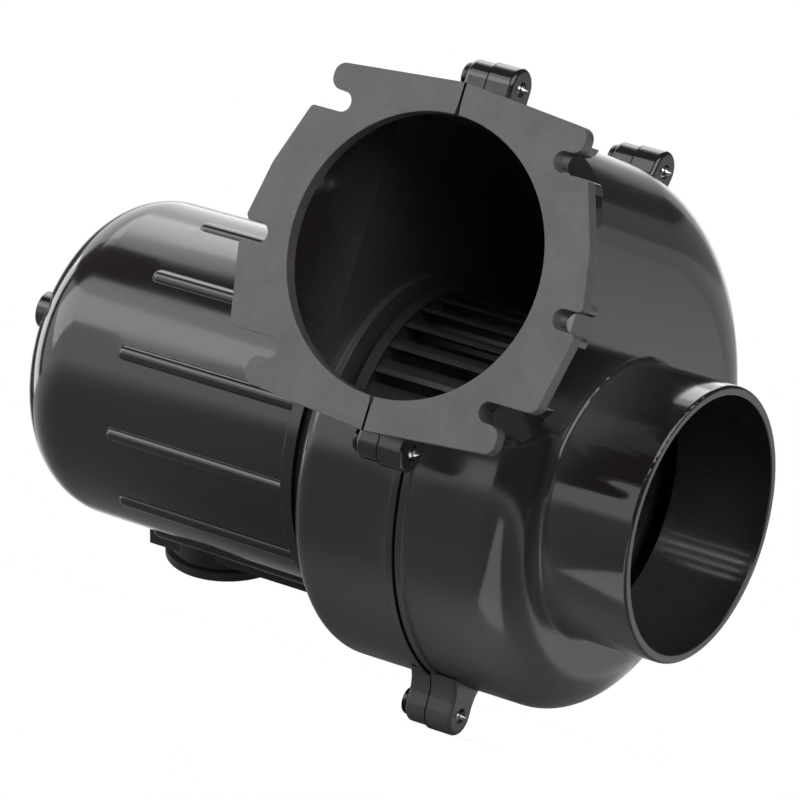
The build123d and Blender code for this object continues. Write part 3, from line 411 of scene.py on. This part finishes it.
def plated_sheet(name, colour, roughness, spangle):
    """Zinc skin: cloudy crystals change colour and gloss from patch to patch."""
    material, tree, shader, place = start_material(name)
    cloud = 14 * MM
    cells = node(
        tree, "ShaderNodeTexVoronoi", {"feature": "SMOOTH_F1"}, Vector=place, Scale=1 / spangle,
        Smoothness=0.6,
    )
    film = node(tree, "ShaderNodeTexNoise", Vector=place, Scale=1 / cloud, Detail=5, Roughness=0.65)
    tint = node(
        tree, "ShaderNodeMix", {"data_type": "RGBA"}, i0=film.outputs["Fac"],
        i6=shade(colour, 0.78), i7=shade(colour, 1.1),
    )
    gloss = node(
        tree, "ShaderNodeMapRange", Value=cells.outputs["Distance"],
        To_Min=roughness - 0.08, To_Max=roughness + 0.12,
    )
    rounded = node(tree, "ShaderNodeBevel", {"samples": 4}, Radius=0.2 * MM)
    bump = node(
        tree, "ShaderNodeBump", Height=film.outputs["Fac"], Distance=0.02 * MM, Strength=0.4,
        Normal=rounded.outputs["Normal"],
    )
    join(
        tree, shader, Base_Color=tint.outputs[2], Roughness=gloss.outputs["Result"],
        Normal=bump.outputs["Normal"], Metallic=1.0,
    )
    return material


def granular_solid(name, low, high, roughness, grain, depth, metallic=0.0):
    """Pressed, sintered or cut mass whose grains show: ferrite, carbon, bronze, foam, rubber or card.

    The real grains are finer, and are drawn 0.3 mm wide or more so that they show.
    """
    material, tree, shader, place = start_material(name)
    patch = 11 * MM
    grains = node(tree, "ShaderNodeTexNoise", Vector=place, Scale=1 / grain, Detail=5, Roughness=0.7)
    bloom = node(tree, "ShaderNodeTexNoise", Vector=place, Scale=1 / patch, Detail=4)
    both = node(
        tree, "ShaderNodeMath", {"operation": "MULTIPLY"}, i0=grains.outputs["Fac"], i1=bloom.outputs["Fac"]
    )
    spread = node(tree, "ShaderNodeMapRange", Value=both.outputs["Value"], From_Min=0.1, From_Max=0.45)
    tint = node(
        tree, "ShaderNodeMix", {"data_type": "RGBA"}, i0=spread.outputs["Result"],
        i6=shade(linear(low)), i7=shade(linear(high)),
    )
    gloss = node(
        tree, "ShaderNodeMapRange", Value=grains.outputs["Fac"],
        To_Min=roughness - 0.06, To_Max=roughness + 0.1,
    )
    rounded = node(tree, "ShaderNodeBevel", {"samples": 4}, Radius=0.25 * MM)
    bump = node(
        tree, "ShaderNodeBump", Height=grains.outputs["Fac"], Distance=depth, Strength=0.7,
        Normal=rounded.outputs["Normal"],
    )
    join(
        tree, shader, Base_Color=tint.outputs[2], Roughness=gloss.outputs["Result"],
        Normal=bump.outputs["Normal"], Metallic=metallic,
    )
    return material


def stacked_sheets(name, colour, sheet):
    """Punched steel laminations: a line at every sheet, with dark varnish between them."""
    material, tree, shader, place = start_material(name)
    # The wave texture repeats every tau / 20 of its own unit
    bands = node(
        tree, "ShaderNodeTexWave", {"bands_direction": "X", "wave_profile": "SIN"}, Vector=place,
        Scale=math.tau / (20 * sheet), Distortion=0.3, Detail=1,
    ).outputs["Fac"]
    tint = node(
        tree, "ShaderNodeMix", {"data_type": "RGBA"}, i0=bands, i6=shade(colour, 0.45), i7=shade(colour)
    )
    gloss = node(tree, "ShaderNodeMapRange", Value=bands, To_Min=0.55, To_Max=0.34)
    bump = node(tree, "ShaderNodeBump", Height=bands, Distance=0.08 * MM, Strength=0.7)
    join(
        tree, shader, Base_Color=tint.outputs[2], Roughness=gloss.outputs["Result"],
        Normal=bump.outputs["Normal"], Metallic=1.0,
    )
    return material


def finishes(look):
    """Every material by the record's slot name."""
    return {
        # Black ABS, injection-moulded: glossy outside, matt flange face, dull within and painted paler there,
        # painted light for the haze deep in the duct
        "housing_plastic": moulded_shell(look),
        # Black ABS of the cover: one even polished skin, so the studio's panels show in it
        "cover_plastic": moulded_plastic(
            "ABS moulded cover", look.cover, look.cover_gloss, look.grain, 0.004 * MM, look.edge
        ),
        # Polypropylene of the wheel: waxier and duller than the shell
        "impeller_plastic": moulded_plastic(
            "polypropylene moulded wheel", linear("#343233"), 0.4, look.grain * 1.4, 0.02 * MM, 0.2 * MM,
            ior=1.49,
        ),
        # Nitrile rubber: dull, with a faint grey bloom
        "rubber": granular_solid("nitrile rubber moulded", "#191819", "#2e2d2d", 0.6, 0.5 * MM, 0.02 * MM),
        # Closed-cell foam: open pores on its cut face
        "foam": granular_solid("neoprene foam cut", "#161616", "#3a3939", 0.85, 0.7 * MM, 0.15 * MM),
        # Black zinc plating on rolled screw steel, cut through to bright steel at the point
        "screw_steel": turned_metal(
            "black zinc-plated screw steel", linear("#d6d7d9"), 0.25, 0.25 * MM, 0.01 * MM,
            plated=linear("#343436"),
        ),
        # Zinc die casting: satin skin with cold-flow clouds
        "zinc_casting": plated_sheet("zinc die-cast", linear("#a3a5a8"), 0.42, 3.2 * MM),
        # Drawn steel can with bright zinc plating
        "plated_steel": plated_sheet("zinc-plated steel drawn", linear("#b4b6ba"), 0.3, 2.2 * MM),
        # Sintered bronze: porous and oil-dark
        "bronze": granular_solid(
            "bronze sintered", "#6e4f2a", "#a9814b", 0.5, 0.35 * MM, 0.03 * MM, metallic=1.0
        ),
        # Ferrite magnet: ceramic grey-black, ground on its faces
        "ferrite": granular_solid("ferrite ceramic pressed", "#26272a", "#45474b", 0.55, 0.4 * MM, 0.03 * MM),
        # Spring steel strip: grey and smooth from the rolls
        "spring_steel": turned_metal("spring steel rolled", linear("#8d9096"), 0.28, 0.3 * MM, 0.01 * MM),
        # Phenolic card: brown with paper fibres
        "card": granular_solid("phenolic card pressed", "#6b4526", "#98693c", 0.5, 0.6 * MM, 0.02 * MM),
        # Brass: turned insert and pressed tabs
        "brass": turned_metal("brass turned", linear("#d9b765"), 0.28, 0.25 * MM, 0.01 * MM),
        # Carbon brush: matt, with sparkling grains of graphite
        "carbon": granular_solid("graphite pressed", "#1b1b1c", "#3d3d40", 0.5, 0.3 * MM, 0.03 * MM),
        # Ground shaft steel: fine rings and a clean highlight
        "shaft_steel": turned_metal("ground steel", linear("#c4c5c8"), 0.2, 0.2 * MM, 0.005 * MM),
        # Laminated core steel with a line at every 0.5 mm sheet
        "lamination": stacked_sheets("laminated steel punched", linear("#8b8b8d"), 0.5 * MM),
        # Enamelled copper wire: lines 0.5 mm apart stand for its turns
        "copper_wire": turned_metal("enamelled copper wire", linear("#b5632f"), 0.3, 0.5 * MM, 0.02 * MM),
        # Hard copper, turned true and rubbed bright by the brushes
        "copper": turned_metal("copper turned", linear("#cf8a5f"), 0.25, 0.25 * MM, 0.01 * MM),
    }


def material_for(slot_name):
    """The finish of a slot, made by the finishes operator."""
    found = bpy.data.materials.get(bpy.context.scene["blower_" + slot_name])
    if found is None:
        raise RuntimeError(f"no finish for {slot_name}")
    return found


# Meshes

def mesh_object(name, build):
    """New object at the origin whose mesh is filled by build(bm)."""
    mesh = bpy.data.meshes.new(name)
    bm = bmesh.new()
    build(bm)
    bmesh.ops.recalc_face_normals(bm, faces=bm.faces)
    bm.to_mesh(mesh)
    bm.free()
    made = bpy.data.objects.new(name, mesh)
    bpy.context.scene.collection.objects.link(made)
    return made


def smooth_by_angle(made, degrees_between):
    """Smooth faces with sharp edges where they meet at more than an angle."""
    mesh = made.data
    mesh.shade_smooth()
    mesh.set_sharp_from_angle(angle=math.radians(degrees_between))


def driver_recess(across, along, head_r, depth):
    """Depth of a cross recess under a head's crown at (across, along) from its middle."""
    reach = 0.42 * head_r
    wing_w = 0.13 * head_r
    bowl_r = 0.24 * head_r
    wall = 2.4      # steepness of the wings' walls
    ramp = 0.35     # share of the depth that a wing loses towards its tip
    near, far = sorted((abs(across), abs(along)))
    wing = max(0.0, 1 - near / wing_w) if far < reach else 0.0
    bowl = max(0.0, 1 - math.hypot(across, along) / bowl_r)
    return depth * max(min(1.0, wall * wing) * (1 - ramp * far / reach), bowl)


def head_rings(sizes, side):
    """Rings of (x, radius) over one turn, from the middle of the domed head to its underside."""
    head_x, head_r, head_t = sizes["head_x"], sizes["head_r"], sizes["head_t"]
    rings = []
    for step in range(CROWN_RINGS + 1):
        share = step / CROWN_RINGS
        radius = head_r * CROWN * share
        crown = head_t * (1 - DOME * share ** 2)
        ring = []
        for turn in TURNS:
            across, along = radius * math.cos(turn), radius * math.sin(turn)
            sunk = driver_recess(across, along, head_r, head_t * RECESS)
            ring.append((head_x - side * (crown - sunk), radius))
        rings.append(ring)
    for height, share in HEAD_EDGE:
        rings.append([(head_x - side * head_t * height, head_r * share)] * SIDES)
    return rings


def thread_rings(sizes, side, pitch, depth):
    """Rings of (x, radius) over one turn, along the threaded shank to its end or its point."""
    length = abs(sizes["end_x"] - sizes["head_x"])
    count = int(length / pitch * THREAD_RINGS)
    rings = []
    for step in range(count + 1):
        along = length * step / count
        fade = min(1.0, max(0.0, (along - PLAIN_NECK) / pitch))
        taper = 1.0
        if sizes["point"] and length - along < sizes["point"]:
            taper = TIP + (1 - TIP) * (length - along) / sizes["point"]
        ring = []
        for turn in TURNS:
            phase = (along / pitch - turn / math.tau) % 1
            crest = max(0.0, 1 - abs(phase - 0.5) / RIDGE)
            ring.append((sizes["head_x"] + side * along, (SHANK_R - depth * (1 - crest * fade)) * taper))
        rings.append(ring)
    return rings


def make_screws(name, sizes, nodes_replaced, pitch, depth):
    """Screws with rolled threads and cross-recessed heads, one object for each place."""
    side = 1 if sizes["end_x"] > sizes["head_x"] else -1
    outline = head_rings(sizes, side) + thread_rings(sizes, side, pitch / MM, depth / MM)

    def build(bm):
        rings = []
        for row in outline:
            ring = []
            for turn, (x, radius) in zip(TURNS, row):
                place = (x * MM, radius * math.cos(turn) * MM, radius * math.sin(turn) * MM)
                ring.append(bm.verts.new(place))
            rings.append(ring)
        for one, two in zip(rings, rings[1:]):
            for number in range(SIDES):
                following = (number + 1) % SIDES
                bm.faces.new((one[number], one[following], two[following], two[number]))
        bm.faces.new(rings[-1])
        bmesh.ops.remove_doubles(bm, verts=bm.verts, dist=0.0005 * MM)

    first = mesh_object(name + "_1", build)
    first.data.materials.append(material_for("screw_steel"))
    smooth_by_angle(first, degrees_between=50)
    screws = [first]
    for number in range(1, len(sizes["places"])):
        screw = bpy.data.objects.new(f"{name}_{number + 1}", first.data)
        bpy.context.scene.collection.objects.link(screw)
        screws.append(screw)
    for screw, (y, z) in zip(screws, sizes["places"]):
        screw.location = (0, y * MM, z * MM)
        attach(screw, "casing")
        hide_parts(nodes_replaced)


class BLOWER_OT_finishes(bpy.types.Operator):
    """Make every finish and give it to the CAD nodes"""

    bl_idname = "blower.finishes"
    bl_label = "Finishes"

    def execute(self, context):
        made = finishes(context.scene.blower_look)
        for slot_name, material in made.items():
            context.scene["blower_" + slot_name] = material.name
        for part in frame["record"]["subparts"]:
            shown = frame["nodes"][part["node"]]
            shown.data.materials.clear()
            shown.data.materials.append(made[part["material_slot"]])
        return {"FINISHED"}


class BLOWER_OT_lug_screws(bpy.types.Operator):
    """Make the five self-tapping screws of the housing lugs"""

    bl_idname = "blower.lug_screws"
    bl_label = "Lug screws"

    def execute(self, context):
        sizes = context.scene.blower_screws
        make_screws("lug_screw", LUG_SCREWS, "housing_screws", sizes.pitch, sizes.depth)
        return {"FINISHED"}


class BLOWER_OT_cover_screws(bpy.types.Operator):
    """Make the two long screws of the motor cover"""

    bl_idname = "blower.cover_screws"
    bl_label = "Cover screws"

    def execute(self, context):
        sizes = context.scene.blower_screws
        make_screws("cover_screw", COVER_SCREWS, "cover_screws", sizes.pitch, sizes.depth)
        return {"FINISHED"}


# Stage

# Camera, fitted to the round outlet bore and the round spigot in the photograph; angles in degrees, and
# the lens and the sensor in millimetres
CAMERA_AZIMUTH = 29.85
CAMERA_ELEVATION = -0.05
CAMERA_ROLL = 16.66
CAMERA_DISTANCE = 1813 * MM
CAMERA_RIGHT = -3.72 * MM
CAMERA_UP = -37.45 * MM
LENS = 315.0
SENSOR = 36.0

# Soft panels round the object: name, azimuth, elevation, angle across, angle up, roll (degrees), radiance.
# The three at the back right overlap, so that their light fades upwards.
PANELS = (
    ("front left, wide", -44, 2, 72, 46, 0, 1.6),
    ("front left, slanted", -48, 16, 50, 27, 38, 2.8),
    ("back left, tall", -125, 40, 54, 42, 0, 2.0),
    ("back left, strip", -97, 0, 16, 42, 0, 4.2),
    ("back left, high", -118, 56, 56, 18, 0, 2.4),
    ("right, high", 50, 34, 64, 38, 0, 3.6),
    ("behind, above", -164, 20, 24, 22, 0, 0.55),
    ("back right, low", 156, -10, 50, 26, 0, 0.34),
    ("back right, middle", 156, -6, 56, 40, 0, 0.3),
    ("back right, tall", 156, -2, 62, 56, 0, 0.26),
)
PANEL_DISTANCE = 1.6    # metres

# Card on the floor under the spigot's mouth, which lights the spigot from below; its roll in degrees
CARD_X = 68 * MM
CARD_Y = -20 * MM
CARD_W = 40 * MM
CARD_L = 140 * MM
CARD_ROLL = -33.0
CARD_LIFT = 0.5 * MM    # over the object's lowest point

FLOOR_R = 320 * MM
FLOOR_DROP = 0.2 * MM   # under the object's lowest point
FLOOR_CLOUD = 400 * MM  # width of the clouds in its paint


def direction(azimuth, elevation):
    """Unit vector from the object towards an azimuth and elevation, in degrees; azimuth 0 is -Y."""
    turn, rise = math.radians(azimuth), math.radians(elevation)
    return Vector((math.sin(turn) * math.cos(rise), -math.cos(turn) * math.cos(rise), math.sin(rise)))


def make_camera(scene):
    """Camera of the photograph: a long lens, level with the shaft and rolled."""
    back = direction(CAMERA_AZIMUTH, CAMERA_ELEVATION)
    right = (-back).cross(Vector((0, 0, 1))).normalized()
    up = right.cross(-back)
    roll = math.radians(CAMERA_ROLL)
    x_axis = math.cos(roll) * right + math.sin(roll) * up
    y_axis = -math.sin(roll) * right + math.cos(roll) * up
    data = bpy.data.cameras.new("camera")
    data.lens = LENS
    data.sensor_width = SENSOR
    data.clip_start = 0.05
    data.clip_end = 50
    camera = bpy.data.objects.new("camera", data)
    camera.matrix_world = Matrix.Translation(
        back * CAMERA_DISTANCE + x_axis * CAMERA_RIGHT + y_axis * CAMERA_UP
    ) @ Matrix((x_axis, y_axis, back)).transposed().to_4x4()
    scene.collection.objects.link(camera)
    scene.camera = camera


def make_lamp(scene, name, across, upward, radiance, place, toward, roll):
    """Soft rectangular lamp of a given radiance. It shines against the direction toward; roll in degrees."""
    data = bpy.data.lights.new(name, "AREA")
    data.shape = "RECTANGLE"
    data.size = across
    data.size_y = upward
    data.energy = radiance * across * upward * math.pi
    lamp = bpy.data.objects.new(name, data)
    lamp.location = place
    lamp.rotation_mode = "QUATERNION"
    turned = Quaternion((0, 0, 1), math.radians(roll))
    lamp.rotation_quaternion = toward.to_track_quat("Z", "Y") @ turned
    scene.collection.objects.link(lamp)


def make_panels(scene, stage, target):
    """Panels at one distance that face the target, and the card on the floor."""
    for name, azimuth, elevation, across, upward, roll, radiance in PANELS:
        toward = direction(azimuth, elevation)
        make_lamp(
            scene, name, 2 * PANEL_DISTANCE * math.tan(math.radians(across / 2)),
            2 * PANEL_DISTANCE * math.tan(math.radians(upward / 2)), radiance * stage.power,
            target + toward * PANEL_DISTANCE, toward, roll,
        )
    card = Vector((CARD_X, CARD_Y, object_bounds()[0].z + CARD_LIFT))
    make_lamp(scene, "bounce card", CARD_W, CARD_L, stage.card, card, Vector((0, 0, -1)), CARD_ROLL)


def seen_directly(tree, behind):
    """1 for camera rays, and for glossy and transmission rays where behind is 1."""
    path = node(tree, "ShaderNodeLightPath")
    mirrored = node(
        tree, "ShaderNodeMath", {"operation": "MAXIMUM"}, i0=path.outputs["Is Glossy Ray"],
        i1=path.outputs["Is Transmission Ray"],
    ).outputs["Value"]
    backed = node(tree, "ShaderNodeMath", {"operation": "MULTIPLY"}, i0=mirrored, i1=behind)
    seen = node(
        tree, "ShaderNodeMath", {"operation": "MAXIMUM"}, i0=path.outputs["Is Camera Ray"],
        i1=backed.outputs["Value"],
    )
    return seen.outputs["Value"]


def make_floor(stage):
    """Round table top. Its glow lifts it to the background's white, and the object's shadow stays on it."""
    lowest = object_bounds()[0].z

    def build(bm):
        bmesh.ops.create_circle(bm, cap_ends=True, segments=128, radius=FLOOR_R)
        bmesh.ops.translate(bm, verts=bm.verts, vec=(0, 0, lowest - FLOOR_DROP))

    floor = mesh_object("floor", build)
    material, tree, shader, place = start_material("matt floor paint")
    clouds = node(tree, "ShaderNodeTexNoise", Vector=place, Scale=1 / FLOOR_CLOUD, Detail=2)
    tint = node(
        tree, "ShaderNodeMix", {"data_type": "RGBA"}, i0=clouds.outputs["Fac"],
        i6=shade(stage.floor, 0.97), i7=shade(stage.floor),
    )
    away = node(tree, "ShaderNodeVectorMath", {"operation": "LENGTH"}, i0=place)
    rim = node(
        tree, "ShaderNodeMapRange", Value=away.outputs["Value"], From_Min=0.7 * FLOOR_R, From_Max=FLOOR_R
    )
    seen = seen_directly(tree, rim.outputs["Result"])
    glow = node(tree, "ShaderNodeMath", {"operation": "MULTIPLY"}, i0=seen, i1=stage.glow)
    join(
        tree, shader, Base_Color=tint.outputs[2], Roughness=0.8,
        Emission_Color=(1, 1, 1, 1), Emission_Strength=glow.outputs["Value"],
    )
    floor.data.materials.append(material)
    floor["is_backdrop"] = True


def make_world(scene, stage):
    """White for the camera. Gloss and glass see that white behind the object, and a dim room elsewhere."""
    world = bpy.data.worlds.new("studio")
    scene.world = world
    world.use_nodes = True
    tree = world.node_tree
    tree.nodes.clear()
    place = node(tree, "ShaderNodeTexCoord").outputs["Generated"]
    facing = node(
        tree, "ShaderNodeVectorMath", {"operation": "DOT_PRODUCT"}, i0=place,
        i1=direction(CAMERA_AZIMUTH + 180, 0),
    )
    # The white fades in from 26 to 14 degrees off the line straight behind the object
    behind = node(
        tree, "ShaderNodeMapRange", {"interpolation_type": "SMOOTHSTEP"}, Value=facing.outputs["Value"],
        From_Min=0.9, From_Max=0.97,
    )
    room = node(tree, "ShaderNodeBackground", Color=(1, 0.99, 0.985, 1), Strength=stage.room)
    white = node(tree, "ShaderNodeBackground", Color=(1, 1, 1, 1), Strength=1.0)
    mix = node(
        tree, "ShaderNodeMixShader", i0=seen_directly(tree, behind.outputs["Result"]),
        i1=room.outputs["Background"], i2=white.outputs["Background"],
    )
    node(tree, "ShaderNodeOutputWorld", Surface=mix.outputs["Shader"])


class BLOWER_OT_stage(bpy.types.Operator):
    """Make the floor, the lamps, the world and the camera"""

    bl_idname = "blower.stage"
    bl_label = "Stage"

    def execute(self, context):
        scene = context.scene
        stage = scene.blower_stage
        low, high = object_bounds()
        target = (low + high) / 2
        make_camera(scene)
        make_floor(stage)
        make_world(scene, stage)
        make_panels(scene, stage, target)
        scene.view_settings.view_transform = "Standard"
        return {"FINISHED"}


# Add-on

STEPS = (BLOWER_OT_finishes, BLOWER_OT_lug_screws, BLOWER_OT_cover_screws, BLOWER_OT_stage)
GROUPS = {
    "blower_look": BlowerHousingLook,
    "blower_screws": BlowerScrewSizes,
    "blower_stage": BlowerStageLook,
}


class BLOWER_PT_panel(bpy.types.Panel):
    """Sidebar panel with the sizes, colours and operators"""

    bl_idname = "BLOWER_PT_panel"
    bl_label = "Blower"
    bl_space_type = "VIEW_3D"
    bl_region_type = "UI"
    bl_category = "Blower"

    def draw(self, context):
        for name, group in GROUPS.items():
            box = self.layout.box()
            for size in group.__annotations__:
                box.prop(getattr(context.scene, name), size)
        for step in STEPS:
            self.layout.operator(step.bl_idname)


def register():
    for name, group in GROUPS.items():
        bpy.utils.register_class(group)
        setattr(bpy.types.Scene, name, bpy.props.PointerProperty(type=group))
    for kind in (*STEPS, BLOWER_PT_panel):
        bpy.utils.register_class(kind)


def unregister():
    for kind in reversed((*STEPS, BLOWER_PT_panel)):
        bpy.utils.unregister_class(kind)
    for name, group in GROUPS.items():
        delattr(bpy.types.Scene, name)
        bpy.utils.unregister_class(group)


def main():
    register()
    for step in STEPS:
        area, action = step.bl_idname.split(".")
        getattr(getattr(bpy.ops, area), action)()


if __name__ == "__main__":
    main()
